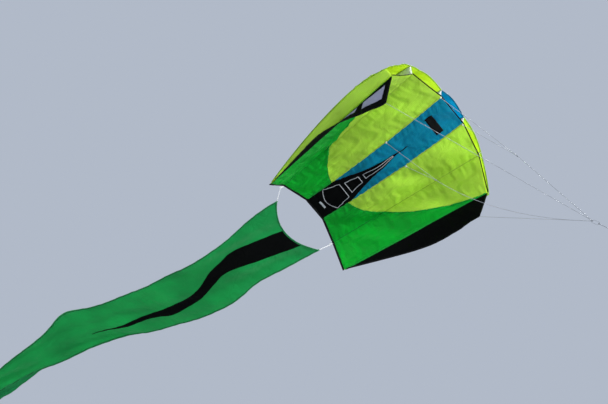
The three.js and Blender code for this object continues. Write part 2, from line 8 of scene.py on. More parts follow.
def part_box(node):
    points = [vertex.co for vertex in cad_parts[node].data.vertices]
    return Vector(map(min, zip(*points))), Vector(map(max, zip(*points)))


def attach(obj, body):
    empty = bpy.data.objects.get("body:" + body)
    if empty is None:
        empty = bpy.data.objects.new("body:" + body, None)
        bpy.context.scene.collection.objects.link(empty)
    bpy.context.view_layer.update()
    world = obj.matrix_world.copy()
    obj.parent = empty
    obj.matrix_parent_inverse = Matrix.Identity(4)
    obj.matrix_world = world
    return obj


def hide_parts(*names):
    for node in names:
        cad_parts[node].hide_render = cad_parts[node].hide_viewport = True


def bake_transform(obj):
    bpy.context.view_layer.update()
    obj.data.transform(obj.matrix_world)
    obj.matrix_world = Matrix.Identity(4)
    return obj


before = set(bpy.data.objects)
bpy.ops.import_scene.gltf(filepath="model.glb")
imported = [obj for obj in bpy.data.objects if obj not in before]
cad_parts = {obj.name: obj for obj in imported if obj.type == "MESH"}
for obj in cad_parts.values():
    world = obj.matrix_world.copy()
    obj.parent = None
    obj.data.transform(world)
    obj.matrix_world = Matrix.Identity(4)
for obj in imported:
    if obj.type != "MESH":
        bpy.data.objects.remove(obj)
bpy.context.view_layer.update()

# ---- Camera

VIEW_TARGET = Vector((-0.943, -0.058, 1.228))
VIEW_FROM = Vector((1.106, -6.896, -10.820))
VIEW_UP = Vector((0.5805, -0.6686, 0.4648))
VIEW_LENS_MM = 220.4


def add_camera():
    data = bpy.data.cameras.new("camera")
    data.lens = VIEW_LENS_MM
    data.sensor_width = 36.0
    data.clip_end = 200.0
    camera = bpy.data.objects.new("camera", data)
    bpy.context.scene.collection.objects.link(camera)
    back = (VIEW_FROM - VIEW_TARGET).normalized()
    right = VIEW_UP.cross(back).normalized()
    up = back.cross(right)
    turn = Matrix((right, up, back)).transposed().to_4x4()
    camera.matrix_world = Matrix.Translation(VIEW_FROM) @ turn
    bpy.context.scene.camera = camera


add_camera()

# ---- Driving dimensions of the part, in metres

WING_PLACE = np.array((-0.609, 0.0, 1.242))
RIB_FEET = (
    ((0.319, 0.075, -0.004), (-0.319, 0.055, -0.005)),
    ((0.289, 0.225, -0.006), (-0.348, 0.163, -0.009)),
    ((0.238, 0.324, -0.102), (-0.373, 0.243, -0.085)),
)
RIB_COUNT = 6
MIDDLE = (RIB_COUNT - 1) / 2

CREST_HEIGHT = 0.062
CREST_CHORD = 0.28
INTAKE_HEIGHT = 0.036
TAIL_HEIGHT = 0.0028
UPPER_LIP_LEAD = 0.012
LIP_SCALLOP = 0.009
TIP_SCALLOP = 0.003
LIP_SCALLOP_SHARE = 0.30
BELLY_PILLOW = 0.009
BACK_PILLOW = 0.016
BELLY_LIP_SHARE = 0.12
BACK_LIP_SHARE = 0.30
FOOT_BOW = 0.016
CLOTH = 0.001
SHEET = 0.0006
CELL_METRES = 0.13
CHORD_METRES = 0.63

PUCKER_HEIGHT = 0.0022
PUCKER_PITCH = 0.030
PUCKER_REACH = 0.009
FOLD_HEIGHT = 0.0064
FOLD_RUN = 0.19
SWIRL_HEIGHT = 0.0026
SWIRL_RUN = 0.085
ARC_PUCKER_HEIGHT = 0.0038
ARC_PUCKER_PITCH = 0.024
ARC_PUCKER_REACH = 0.016

SEAM_CHORD = 0.84
SEAM_POWER = 2.2
SEAM_FALL = 0.65
SPINE_TIP = 0.32
SPINE_FULL = 0.82
SPINE_POWER = 1.8

FIN_CORNER_CHORD = 0.11
FIN_DEPTH = 0.127
FIN_EDGE_BELLY = 0.006
FIN_SPLAY = math.radians(47)
FIN_SPLAY_RUN = 0.55
FIN_SPLAY_POWER = 1.5
FRONT_PANE = ((0.06, 0.020), (0.12, 0.085), (0.265, 0.060), (0.24, 0.010))
REAR_PANE = ((0.283, 0.010), (0.308, 0.050), (0.43, 0.014), (0.44, 0.008))

HEM_WIDTH = 0.008
TOW_KNOT = np.array((0.593, 0.0, -1.200)) + WING_PLACE
FRONT_FORK = np.array((0.462, 0.0, -0.554)) + WING_PLACE
REAR_FORK = np.array((0.150, 0.0, -0.352)) + WING_PLACE
LINE_LEAN = math.radians(20.5)
LINE_DIRECTION = np.array((math.sin(LINE_LEAN), 0.0, -math.cos(LINE_LEAN)))
REAR_TAB_CHORD = 0.418
REAR_LINE_SLACK = 0.046
BRIDLE_DIAMETER = 0.0016
LOOP_DIAMETER = 0.0012
LINE_DIAMETER = 0.0014
TAIL_CORD_DIAMETER = 0.0034
TOW_LOOP_WIDTH = 0.012
LINE_LOOP_LENGTH = 0.034
LINE_LOOP_WIDTH = 0.011
HITCH_COIL = 0.0017
HITCH_HALF_LENGTH = 0.0019

TAIL_SETBACK = 0.057
TAIL_DROP = 0.025
TAIL_RUN = 1.69
TAIL_WIDTH = 0.284
TAIL_END_WIDTH = 0.014
TAIL_TAPER_POWER = 1.6
TAIL_FRONT_HOLLOW = 0.055
TAIL_LIFT = 0.355
TAIL_LIFT_START = 0.310
TAIL_LIFT_RUN = 0.720
TAIL_SWAY = 0.026
TAIL_SWAY_RUN = 1.090
TAIL_SHIFT = 0.010
TAIL_WAIST = 0.019
TAIL_WAIST_RUN = 0.240
TAIL_FLARE_OUT = 0.022
TAIL_FLARE_UP = 0.034
TAIL_FLARE_RUN = 1.000
TAIL_BREAKS = (0.0, 0.430, 0.850, 1.270, TAIL_RUN)

X_AXIS = np.array((1.0, 0.0, 0.0))
Y_AXIS = np.array((0.0, 1.0, 0.0))
DOWN = np.array((0.0, 0.0, -1.0))

# ---- Materials

STITCH_PITCH = 0.0032
STITCH_SHARE = 0.68
STITCH_ROW = 0.0019
THREAD_HALF = 0.00028


class Nodes:
    """Short calls that add nodes to one material."""

    def __init__(self, name):
        self.material = bpy.data.materials.new(name)
        self.material.use_nodes = True
        self.tree = self.material.node_tree
        self.tree.nodes.clear()
        self.output = self.add("ShaderNodeOutputMaterial")
        coordinates = self.add("ShaderNodeTexCoord")
        self.uv, self.place = coordinates.outputs["UV"], coordinates.outputs["Object"]
        self.u, self.v, _ = self.add("ShaderNodeSeparateXYZ", {0: self.uv}).outputs

    def add(self, kind, inputs=None, **settings):
        """A node, with each input fed by a number, a colour or another node's output."""
        node = self.tree.nodes.new(kind)
        for key, value in settings.items():
            setattr(node, key, value)
        for key, value in (inputs or {}).items():
            if isinstance(value, tuple):
                node.inputs[key].default_value = (*value, 1)
            elif isinstance(value, (int, float)):
                node.inputs[key].default_value = value
            elif value is not None:
                self.tree.links.new(value, node.inputs[key])
        return node

    def math(self, operation, a, b=None):
        return self.add("ShaderNodeMath", {0: a, 1: b}, operation=operation).outputs[0]

    def distance(self, a, b):
        return self.math("ABSOLUTE", self.math("SUBTRACT", a, b))

    def noise(self, coordinates, scale, detail=3.0, distortion=0.0):
        inputs = {"Vector": coordinates, "Scale": scale, "Detail": detail, "Distortion": distortion}
        return self.add("ShaderNodeTexNoise", inputs).outputs["Fac"]

    def ramp(self, factor, low, color_low, high, color_high):
        node = self.add("ShaderNodeValToRGB", {"Fac": factor})
        for element, place, color in zip(node.color_ramp.elements, (low, high), (color_low, color_high)):
            element.position = place
            element.color = (*color, 1)
        return node.outputs["Color"]

    def blend(self, factor, a, b):
        return self.add("ShaderNodeMix", {0: factor, 6: a, 7: b}, data_type="RGBA").outputs[2]

    def bump(self, height, strength, distance, normal=None):
        inputs = {"Height": height, "Strength": strength, "Distance": distance, "Normal": normal}
        return self.add("ShaderNodeBump", inputs).outputs["Normal"]

    def surface(self, tint, normal, through=None, see_through=0.0, **gloss):
        """Ends the material: a surface and, if through is given, light that comes from behind."""
        inputs = {key.replace("_", " "): value for key, value in gloss.items()}
        shader = self.add("ShaderNodeBsdfPrincipled", {"Base Color": tint, "Normal": normal, **inputs})
        if through is not None:
            behind = self.add("ShaderNodeBsdfTranslucent", {"Color": through, "Normal": normal})
            shader = self.add("ShaderNodeMixShader", {
                0: see_through, 1: shader.outputs[0], 2: behind.outputs[0]})
        self.tree.links.new(shader.outputs[0], self.output.inputs["Surface"])
        return self.material


def grid_lines(nodes, pitch, share):
    """1 on the thick threads of a ripstop grid, whose squares are pitch across."""
    masks = []
    for axis in (nodes.u, nodes.v):
        cell = nodes.math("FRACT", nodes.math("MULTIPLY", axis, 1 / pitch))
        masks.append(nodes.math("GREATER_THAN", nodes.distance(cell, 0.5), 0.5 - share))
    return nodes.math("MAXIMUM", *masks)


def scaled(color, factor):
    return tuple(min(c * factor, 1.0) for c in color)


def woven(nodes, mottle, threads, color, low, high, thread_share, thread_shade):
    """A cloth colour with patches of painted light and shade, and slightly darker thick threads."""
    tint = nodes.ramp(mottle, 0.3, scaled(color, low), 0.7, scaled(color, high))
    return nodes.blend(nodes.math("MULTIPLY", threads, thread_share), tint, scaled(color, thread_shade))


def ripstop(name, color, glow, see_through, roughness=0.5, sheen=0.06, specular=0.3):
    """Thin coated cloth: a surface sheen mixed with light that comes through from behind."""
    nodes = Nodes(name)
    threads = grid_lines(nodes, 0.0052, 0.07)
    # Painted light and shade: the mottle makes lighter and darker patches in the cloth's colours, like the
    # light and shade over creases.
    mottle = nodes.noise(nodes.place, 7.0, 4.0)
    tint = woven(nodes, mottle, threads, color, 0.80, 1.12, 0.22, 0.62)
    lit = woven(nodes, mottle, threads, glow, 0.84, 1.10, 0.30, 0.55)
    normal = nodes.bump(nodes.noise(nodes.place, 26.0, 5.0, 1.2), 0.6, 0.006)
    normal = nodes.bump(threads, 0.25, 0.0002, normal)
    normal = nodes.bump(nodes.noise(nodes.uv, 1400.0, 1.0), 0.12, 0.0002, normal)
    return nodes.surface(tint, normal, lit, see_through, Roughness=roughness, Sheen_Weight=sheen,
                         Sheen_Roughness=0.4, Specular_IOR_Level=specular)


def seam_tape(name, color, thread, see_through=0.12):
    """Folded seam with two rows of stitches; its UV is metres along and across."""
    nodes = Nodes(name)
    dash = nodes.math("FRACT", nodes.math("MULTIPLY", nodes.u, 1 / STITCH_PITCH))
    dash = nodes.math("LESS_THAN", dash, STITCH_SHARE)
    off_row = nodes.distance(nodes.math("ABSOLUTE", nodes.v), STITCH_ROW)
    stitch = nodes.math("MULTIPLY", dash, nodes.math("LESS_THAN", off_row, THREAD_HALF))
    mottle = nodes.noise(nodes.place, 60.0, 3.0)
    tint = nodes.ramp(mottle, 0.3, scaled(color, 0.82), 0.7, scaled(color, 1.05))
    tint = nodes.blend(stitch, tint, thread)
    normal = nodes.bump(mottle, 0.3, 0.001)
    normal = nodes.bump(stitch, 0.6, 0.0003, normal)
    return nodes.surface(tint, normal, tint, see_through, Roughness=0.65, Specular_IOR_Level=0.08)


def braid(name, color, strand=0.0011):
    """Braided cord: crossing diagonal strands; its UV is metres along and turns around."""
    nodes = Nodes(name)
    along = nodes.math("MULTIPLY", nodes.u, 1 / strand)
    around = nodes.math("MULTIPLY", nodes.v, 4.0)
    ridges = []
    for operation in ("ADD", "SUBTRACT"):
        phase = nodes.math("MULTIPLY", nodes.math(operation, along, around), math.pi)
        ridges.append(nodes.math("ABSOLUTE", nodes.math("SINE", phase)))
    height = nodes.math("MAXIMUM", *ridges)
    # Painted shade: the cord's colour is darker where the strands dip, in the grooves between them.
    tint = nodes.ramp(height, 0.55, scaled(color, 0.62), 0.95, color)
    fibre = nodes.noise(nodes.place, 900.0, 2.0)
    normal = nodes.bump(height, 0.6, 0.0002)
    normal = nodes.bump(fibre, 0.3, 0.0002, normal)
    return nodes.surface(tint, normal, Roughness=0.7, Sheen_Weight=0.3)


LIME = ripstop("lime_ripstop_cloth", (0.41, 0.62, 0.065), (0.74, 0.91, 0.11), 0.55, 0.5, 0.02, 0.2)
GREEN = ripstop("green_ripstop_cloth", (0.001, 0.34, 0.028), (0.004, 0.66, 0.06), 0.50, 0.5, 0.0, 0.12)
BLUE = ripstop("blue_ripstop_cloth", (0.0, 0.22, 0.29), (0.0, 0.52, 0.76), 0.50, 0.5, 0.0, 0.12)
BLACK = ripstop("black_ripstop_cloth", (0.001, 0.0014, 0.0013), (0.02, 0.05, 0.02), 0.06, 0.8, 0.0, 0.03)
WHITE = ripstop("white_ripstop_cloth", (0.78, 0.80, 0.77), (0.85, 0.88, 0.80), 0.50, 0.6)
GREY = ripstop("grey_ripstop_cloth", (0.21, 0.22, 0.31), (0.30, 0.30, 0.40), 0.20, 0.55, 0.0)
TAIL_GREEN = ripstop("tail_ripstop_cloth", (0.005, 0.235, 0.062), (0.018, 0.41, 0.12),
                     0.46, 0.5, 0.02, 0.2)
LIME_SEAM = seam_tape("lime_seam", (0.38, 0.60, 0.05), (0.50, 0.70, 0.12), 0.36)
GREEN_SEAM = seam_tape("green_seam", (0.006, 0.29, 0.03), (0.02, 0.38, 0.05), 0.28)
BLUE_SEAM = seam_tape("blue_seam", (0.0, 0.16, 0.27), (0.03, 0.28, 0.40), 0.25)
BLACK_SEAM = seam_tape("black_seam", (0.001, 0.0014, 0.0013), (0.012, 0.013, 0.014), 0.01)
TAIL_SEAM = seam_tape("tail_seam", (0.006, 0.13, 0.034), (0.03, 0.22, 0.07), 0.12)
WHITE_TAPE = seam_tape("white_tape", (0.74, 0.76, 0.74), (0.55, 0.56, 0.55), 0.10)
PLATE_THREAD = seam_tape("plate_thread", (0.33, 0.36, 0.36), (0.42, 0.45, 0.45), 0.0)
PALE_BRAID = braid("pale_braid", (0.24, 0.26, 0.28))
WHITE_BRAID = braid("white_braid", (0.52, 0.53, 0.54), 0.0016)
DARK_BRAID = braid("dark_braid", (0.035, 0.040, 0.055))

# ---- Mesh builders


def mesh_piece(name, points, faces, uvs, material, slots=None, smooth_faces=None):
    """A mesh from points, faces and one UV pair for each point."""
    data = bpy.data.meshes.new(name)
    data.from_pydata([tuple(p) for p in points], [], faces)
    layer = data.uv_layers.new(name="metres")
    loops = np.empty(len(data.loops), dtype=np.int64)
    data.loops.foreach_get("vertex_index", loops)
    layer.data.foreach_set("uv", np.asarray(uvs, dtype=np.float32)[loops].ravel())
    data.polygons.foreach_set("use_smooth", smooth_faces or [True] * len(faces))
    if slots is not None:
        data.polygons.foreach_set("material_index", slots)
    data.update()
    for slot_material in material if isinstance(material, list) else [material]:
        data.materials.append(slot_material)
    piece = bpy.data.objects.new(name, data)
    bpy.context.scene.collection.objects.link(piece)
    return piece


def closed_sheet(name, outer, inner, uvs, material, keep=None, slot_of=None):
    """A thin closed body between two grids of points, both columns+1 by rows+1 by 3.
    keep marks the cells to build; slot_of gives a cell's material number."""
    columns, rows = outer.shape[0] - 1, outer.shape[1] - 1
    if keep is None:
        keep = np.ones((columns, rows), dtype=bool)
    used = np.zeros((columns + 1, rows + 1), dtype=bool)
    for di in (0, 1):
        for dj in (0, 1):
            used[di:columns + di, dj:rows + dj] |= keep
    number = np.full(used.shape, -1)
    number[used] = np.arange(used.sum())
    half = int(used.sum())
    normal = np.cross(outer[-1, 0] - outer[0, 0], outer[0, -1] - outer[0, 0])
    flip = np.dot(normal, (outer - inner)[used].mean(axis=0)) < 0
    faces, slots, smooth_faces = [], [], []

    def face(corners, slot, is_wall=True):
        faces.append(tuple(reversed(corners)) if flip else tuple(corners))
        slots.append(slot)
        smooth_faces.append(not is_wall)

    padded = np.zeros((columns + 2, rows + 2), dtype=bool)
    padded[1:-1, 1:-1] = keep
    for i in range(columns):
        for j in range(rows):
            if not keep[i, j]:
                continue
            slot = slot_of(i, j) if slot_of else 0
            a, b, c, d = number[i, j], number[i + 1, j], number[i + 1, j + 1], number[i, j + 1]
            face((a, b, c, d), slot, False)
            face((d + half, c + half, b + half, a + half), slot, False)
            for p, q, di, dj in ((b, a, 1, 0), (d, c, 1, 2), (a, d, 0, 1), (c, b, 2, 1)):
                if not padded[i + di, j + dj]:
                    face((p, q, q + half, p + half), slot)
    points = np.concatenate([outer[used], inner[used]])
    both = np.concatenate([uvs[used], uvs[used]])
    return mesh_piece(name, points, faces, both, material, slots, smooth_faces)


def unit(vectors):
    return vectors / np.maximum(np.linalg.norm(vectors, axis=-1, keepdims=True), 1e-12)


def pairs(u, v):
    """Each u with each v, as a grid of UV pairs."""
    return np.stack(np.broadcast_arrays(u, v), axis=-1)


def along_path(points):
    """Distance from the first point to each point of a path."""
    steps = np.linalg.norm(np.diff(points, axis=0), axis=1)
    return np.concatenate([[0.0], np.cumsum(steps)])


def band(path, normals, half_width, thickness, material):
    """A flat sewn band that follows a path on a surface."""
    across = unit(np.cross(normals, unit(np.gradient(path, axis=0))))
    shares = np.array((-1.0, -0.6, 0.0, 0.6, 1.0))
    crown = np.array((0.35, 0.9, 1.0, 0.9, 0.35)) * thickness
    inner = path[:, None] + across[:, None] * (shares * half_width)[None, :, None]
    outer = inner + normals[:, None] * crown[None, :, None]
    uvs = pairs(along_path(path)[:, None], shares[None] * half_width)
    return closed_sheet("band", outer, inner, uvs, material)


def joined(name, pieces):
    """Several mesh pieces as one object."""
    with bpy.context.temp_override(active_object=pieces[0], selected_editable_objects=pieces):
        bpy.ops.object.join()
    pieces[0].name = name
    pieces[0].data.name = name
    return pieces[0]


def path_frames(path, closed):
    """Directions across a path that don't twist about it."""
    if closed:
        tangents = unit(np.roll(path, -1, axis=0) - np.roll(path, 1, axis=0))
    else:
        tangents = unit(np.gradient(path, axis=0))
    start = Y_AXIS if abs(tangents[0][1]) < 0.9 else X_AXIS
    side = unit(start - tangents[0] * np.dot(start, tangents[0]))
    sides = []
    for tangent in tangents:
        side = unit(side - tangent * np.dot(side, tangent))
        sides.append(side)
    sides = np.array(sides)
    if closed:
        first, last = sides[0], sides[-1]
        turn = math.atan2(np.dot(np.cross(last, first), tangents[0]), np.dot(last, first))
        angles = turn * np.arange(len(path)) / len(path)
        other = np.cross(tangents, sides)
        sides = sides * np.cos(angles)[:, None] + other * np.sin(angles)[:, None]
    return sides, np.cross(tangents, sides)


def ring_mesh(name, rings, uvs, material, closed=False, inside_out=False):
    """A mesh through rings of points, with flat ends when it is open."""
    count, sides = rings.shape[:2]
    faces = []
    for r in range(count if closed else count - 1):
        n = (r + 1) % count
        for s in range(sides):
            t = (s + 1) % sides
            faces.append((r * sides + s, r * sides + t, n * sides + t, n * sides + s))
    ends = [] if closed else [tuple(range(sides))[::-1], tuple(range((count - 1) * sides, count * sides))]
    if inside_out:
        faces = [face[:1] + face[:0:-1] for face in faces]
        ends = [end[::-1] for end in ends]
    return mesh_piece(name, rings.reshape(-1, 3), faces + ends, uvs.reshape(-1, 2), material)


def tube(name, path, radius, material, closed=False, sides=10):
    """A round cord along a path."""
    u, v = path_frames(path, closed)
    turns = np.arange(sides) / sides
    cos, sin = (wave(2 * math.pi * turns)[None, :, None] for wave in (np.cos, np.sin))
    rings = path[:, None] + radius * (u[:, None] * cos + v[:, None] * sin)
    return ring_mesh(name, rings, pairs(along_path(path)[:, None], turns[None]), material, closed)


def finished(piece, *nodes, body="kite"):
    """Rides the piece on its body and hides the nodes that it stands for."""
    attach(piece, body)
    if nodes:
        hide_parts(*nodes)
    return piece


# ---- Wing surfaces


def rib_feet(end):
    """Feet of the ribs at the nose (0) or the trailing edge (1), from right to left."""
    left = np.array([feet[end] for feet in RIB_FEET])
    return np.concatenate([(left * (1, -1, 1))[::-1], left]) + WING_PLACE


NOSE, TAIL = rib_feet(0), rib_feet(1)
CELL_UPS = unit(np.cross(np.diff(NOSE + TAIL, axis=0), (TAIL - NOSE)[:-1]))
RIB_UPS = unit(np.concatenate([CELL_UPS[:1], CELL_UPS]) + np.concatenate([CELL_UPS, CELL_UPS[-1:]]))
CHORD_LENGTH = np.linalg.norm(TAIL - NOSE, axis=1)
LIP_LEADS = (UPPER_LIP_LEAD / CHORD_LENGTH)[:, None] * [[0], [1], [1], [1], [1], [0]]
INNER_RIBS = np.array([[1.0 if abs(rib - MIDDLE) < 1 else 0.0] for rib in range(RIB_COUNT)])


def mixed(a, b, share):
    """Points a where share is 0, points b where it is 1."""
    return a * (1 - share)[..., None] + b * share[..., None]


def arch(t):
    """0 at both ends of 0 to 1, and 1 in the middle."""
    return 4 * t * (1 - t)


def matched(*values):
    return np.broadcast_arrays(*(np.asarray(value, float) for value in values))


def cell_of(span):
    return np.clip(np.floor(span).astype(int), 0, RIB_COUNT - 2)


def between_ribs(values, span):
    """Values at the ribs, joined by straight lines along the span."""
    rib = cell_of(span)
    return mixed(values[rib], values[rib + 1], span - rib)


def up_at(span):
    return unit(between_ribs(RIB_UPS, span))


def smooth(value):
    t = np.clip(value, 0, 1)
    return t * t * (3 - 2 * t)


def ripple(value, seed):
    """Uneven wave of about one unit's length, from -1 to 1."""
    return (0.5 * np.sin(2 * math.pi * value + seed)
            + 0.3 * np.sin(2 * math.pi * 1.73 * value + 2.1 * seed)
            + 0.2 * np.sin(2 * math.pi * 0.61 * value + 3.7 * seed))


def billow(span, chord, lip_share):
    return arch(span - cell_of(span)) * np.sin(math.pi * (lip_share + (1 - lip_share) * chord))


def cell_width(span, chord):
    rib = cell_of(span)
    nose_width, tail_width = (np.linalg.norm(row[rib + 1] - row[rib], axis=-1) for row in (NOSE, TAIL))
    return nose_width * (1 - chord) + tail_width * chord


def puckers(gap, along, reach, seed):
    """Short folds that stand across a seam and fade with the distance from it."""
    return gap / reach * np.exp(1 - gap / reach) * ripple(along, seed)


def creases(span, chord, seed):
    """Height of the small folds: puckers that leave each rib seam, and soft waves between them."""
    rib = cell_of(span)
    across = span - rib
    width = cell_width(span, chord)
    run = chord * CHORD_METRES
    height = np.zeros_like(span)
    for edge, share in ((rib, across), (rib + 1, 1 - across)):
        gap = share * width
        along = run / PUCKER_PITCH + 9.0 * gap * np.sin(1.9 * edge + seed)
        height += PUCKER_HEIGHT * puckers(gap, along, PUCKER_REACH, seed + 1.3 * edge)
    height += FOLD_HEIGHT * arch(across) * ripple(run / FOLD_RUN + 0.9 * across, seed + rib)
    swirl = 0.35 * np.sin(2 * math.pi * (1.3 * across + run / 0.21) + rib)
    wave = ripple(run / SWIRL_RUN - 1.6 * across + swirl, 2.0 * seed + rib)
    return height + SWIRL_HEIGHT * arch(across) * wave


def arc_puckers(span, chord):
    """Folds across the curved seam between the front and rear cloth of the belly."""
    gap = np.abs(chord - belly_seam(span)) * CHORD_METRES
    outside = smooth((np.abs(span - MIDDLE) - 0.5) / 0.1)
    along = span * CELL_METRES / ARC_PUCKER_PITCH
    return ARC_PUCKER_HEIGHT * outside * puckers(gap, along, ARC_PUCKER_REACH, 5.2)


def tab_pull(span, chord):
    """Star of creases round each rear bridle tab."""
    height = np.zeros_like(span)
    for rib in (2.0, 3.0):
        dx = (chord - REAR_TAB_CHORD) * CHORD_METRES
        dy = (span - rib) * cell_width(span, chord)
        reach = np.hypot(dx, dy)
        turn = np.arctan2(dy, dx)
        fade = (reach / 0.02) * np.exp(1 - reach / 0.02)
        height += 0.0008 * fade * np.cos(7 * turn + 0.6)
        height -= 0.0025 * np.exp(-(reach / 0.03) ** 2)
    return height


def foot_line(span, chord):
    """Points on the straight lines between the feet of the ribs."""
    return mixed(between_ribs(NOSE, span), between_ribs(TAIL, span), chord)


def belly(span, chord, lift=0.0, fine=True):
    """Points of the lower cloth; lift is towards the inside of the cell."""
    span, chord = matched(span, chord)
    bow = FOOT_BOW * arch(chord) * between_ribs(INNER_RIBS, span)[..., 0]
    height = -BELLY_PILLOW * billow(span, chord, BELLY_LIP_SHARE) + lift
    if fine:
        edge = smooth(chord / 0.03) * smooth((1 - chord) / 0.03)
        folds = creases(span, chord, 0.7) + arc_puckers(span, chord) + tab_pull(span, chord)
        height = height + folds * (0.35 + 0.65 * edge)
    return foot_line(span, chord) + DOWN * bow[..., None] + up_at(span) * height[..., None]


def section_height(chord):
    front = (CREST_CHORD - chord) / CREST_CHORD
    rear = np.clip((chord - CREST_CHORD) / (1 - CREST_CHORD), 0, 1)
    return np.where(
        chord < CREST_CHORD,
        CREST_HEIGHT - (CREST_HEIGHT - INTAKE_HEIGHT) * front ** 2,
        CREST_HEIGHT - (CREST_HEIGHT - TAIL_HEIGHT) * rear ** 1.7)


def back(span, chord, lift=0.0, fine=True):
    """Points of the upper cloth; lift is away from the inside of the cell."""
    span, chord = matched(span, chord)
    lead = between_ribs(LIP_LEADS, span)[..., 0]
    rise = between_ribs(RIB_UPS, span) * section_height(chord)[..., None]
    scallop = arch(span - cell_of(span)) * np.clip(1 - chord / LIP_SCALLOP_SHARE, 0, 1) ** 2
    forward = np.where(np.abs(span - MIDDLE) > 1.5, TIP_SCALLOP, LIP_SCALLOP)
    foot = foot_line(span, chord * (1 + lead) - lead) + X_AXIS * (forward * scallop)[..., None]
    height = BACK_PILLOW * billow(span, chord, BACK_LIP_SHARE) + lift
    if fine:
        edge = smooth((1 - chord) / 0.05)
        height = height + 1.2 * creases(span, chord, 2.9) * (0.2 + 0.8 * edge)
    return foot + rise + up_at(span) * height[..., None]


def cloth_uv(span, chord):
    return pairs(span * CELL_METRES, chord * CHORD_METRES)


def grid_area(points):
    """Area of a grid of points, for the cut's flat area."""
    a, b = points[1:, :-1] - points[:-1, :-1], points[:-1, 1:] - points[:-1, :-1]
    c, d = points[:-1, 1:] - points[1:, 1:], points[1:, :-1] - points[1:, 1:]
    halves = np.linalg.norm(np.cross(a, b), axis=-1) + np.linalg.norm(np.cross(c, d), axis=-1)
    return float(halves.sum() / 2)


def grid_size(points):
    """Width and length of the smallest flat rectangle that a nearly flat grid is cut from."""
    flat = points.reshape(-1, 3) - points.reshape(-1, 3).mean(axis=0)
    axes = np.linalg.svd(flat, full_matrices=False)[2]
    spread = np.ptp(flat @ axes.T, axis=0)
    return float(spread[1]), float(spread[0])


def declare_sheet(smooth_points, area=None):
    width, length = grid_size(smooth_points)
    cut = min(area or grid_area(smooth_points), width * length)
    area = max(cut, LEAST_CUT_SHARE * width * length)


def belly_seam(span):
    reach = np.minimum(np.abs(span - MIDDLE) / MIDDLE, 1)
    return SEAM_CHORD * (1 - reach ** SEAM_POWER) ** SEAM_FALL


def spine_half_width(chord):
    return 0.5 * np.clip((chord - SPINE_TIP) / (SPINE_FULL - SPINE_TIP), 0, 1) ** SPINE_POWER


CELLS = ("right_outer", "right_inner", "middle", "left_inner", "left_outer")
CELL_EDGE = 0.0012
LEAST_CUT_SHARE = 0.31
RIB_END = 0.96


def cell_spans(cell, count):
    """Span places over one cell, closer together where the curved seam is steep."""
    t = np.linspace(0, 1, count + 1)
    if cell in (0, 4):
        t = np.sin(math.pi / 2 * t)
    low, high = cell + CELL_EDGE, cell + 1 - CELL_EDGE
    return high + (low - high) * t if cell < 2 else low + (high - low) * t


def add_wing_cloth(name, surface, span, chord, lifts, material, keep=None, area=None):
    """One panel of the belly or the back, between two lifts of its surface."""
    outer, inner = (surface(span, chord, lift) for lift in lifts)
    piece = closed_sheet(f"cloth_{name}", outer, inner, cloth_uv(span, chord), material, keep)
    finished(piece, name)
    declare_sheet(surface(span, chord, 0, False), area)


def add_belly_sides():
    for cell in (0, 1, 3, 4):
        span = cell_spans(cell, 32)[:, None]
        seam = belly_seam(span)
        for color, material, first, last, rows in (
                ("lime", LIME, 0.0 * seam, seam, 96),
                ("green", GREEN, seam, 1.0 + 0.0 * seam, 76)):
            chord = first + (last - first) * np.linspace(0, 1, rows + 1)[None]
            add_wing_cloth(f"belly_{color}_{CELLS[cell]}", belly, span, chord, (0, SHEET), material)


def add_belly_middle():
    columns = 16
    front = np.linspace(0, SPINE_TIP, 51)
    rear = np.linspace(SPINE_TIP, SPINE_FULL - 0.004, 81)[1:]
    chord = np.concatenate([front, rear])
    half = 0.5 - CELL_EDGE
    edge = np.maximum(spine_half_width(chord), 0.004)
    t = np.linspace(0, 1, columns + 1)[:, None]
    left = -half + (half - edge)[None] * t
    right = edge[None] + (half - edge)[None] * t
    span = MIDDLE + np.concatenate([left, np.zeros((1, len(chord))), right])
    keep = np.ones((span.shape[0] - 1, span.shape[1] - 1), dtype=bool)
    keep[columns:columns + 2, len(front) - 1:] = False
    flat = belly(span, chord, 0, False)
    area = sum(grid_area(flat[i:i + 2, j:j + 2]) for i, j in zip(*np.nonzero(keep)))
    add_wing_cloth("belly_blue_middle", belly, span, chord, (0, SHEET), BLUE, keep, area)

    front = np.linspace(SPINE_TIP + 0.01, SPINE_FULL, 80)
    chord = np.concatenate([front, np.linspace(SPINE_FULL, 1, 28)[1:]])
    edge = np.minimum(np.maximum(spine_half_width(chord), 0.004), half)
    span = MIDDLE + edge[None] * np.linspace(-1, 1, 17)[:, None]
    add_wing_cloth("belly_black_spine", belly, span, chord, (-0.0003, SHEET), BLACK)


def add_back():
    for cell, cell_name in enumerate(CELLS):
        span = np.linspace(cell + CELL_EDGE, cell + 1 - CELL_EDGE, 33)[:, None]
        chord = (np.linspace(0, 1, 141) ** 1.15)[None]
        material = BLUE if cell_name == "middle" else LIME
        add_wing_cloth(f"back_{cell_name}", back, span, chord, (0, -SHEET), material)


def add_ribs():
    clear = CLOTH + 0.0006
    for rib in range(RIB_COUNT):
        is_tip = rib in (0, RIB_COUNT - 1)
        chord = np.linspace(0, RIB_END, 61)[:, None]
        level = np.linspace(0, 1, 9)[None]
        points = mixed(belly(rib, chord, clear, False), back(rib, chord, -clear, False), level)
        sideways = unit(np.cross(TAIL[rib] - NOSE[rib], RIB_UPS[rib]))
        swell = (0.006 if is_tip else 0.0012) * np.sin(math.pi * np.minimum(chord / RIB_END, 1))
        swell = arch(level) * (swell + 0.0005 * ripple(chord * CHORD_METRES / 0.03, 1.1 * rib))
        outward = np.sign(rib - MIDDLE) * np.sign(sideways[1])
        middle = points + sideways * outward * swell[..., None]
        uvs = pairs(chord * CHORD_METRES, level * 0.06)
        outer, inner = (middle + sideways * lift for lift in (SHEET / 2, -SHEET / 2))
        piece = closed_sheet(f"cloth_rib_{rib + 1}", outer, inner, uvs, LIME if is_tip else WHITE)
        finished(piece, f"rib_{rib + 1}")
        declare_sheet(points)


add_belly_sides()
add_belly_middle()
add_back()
add_ribs()

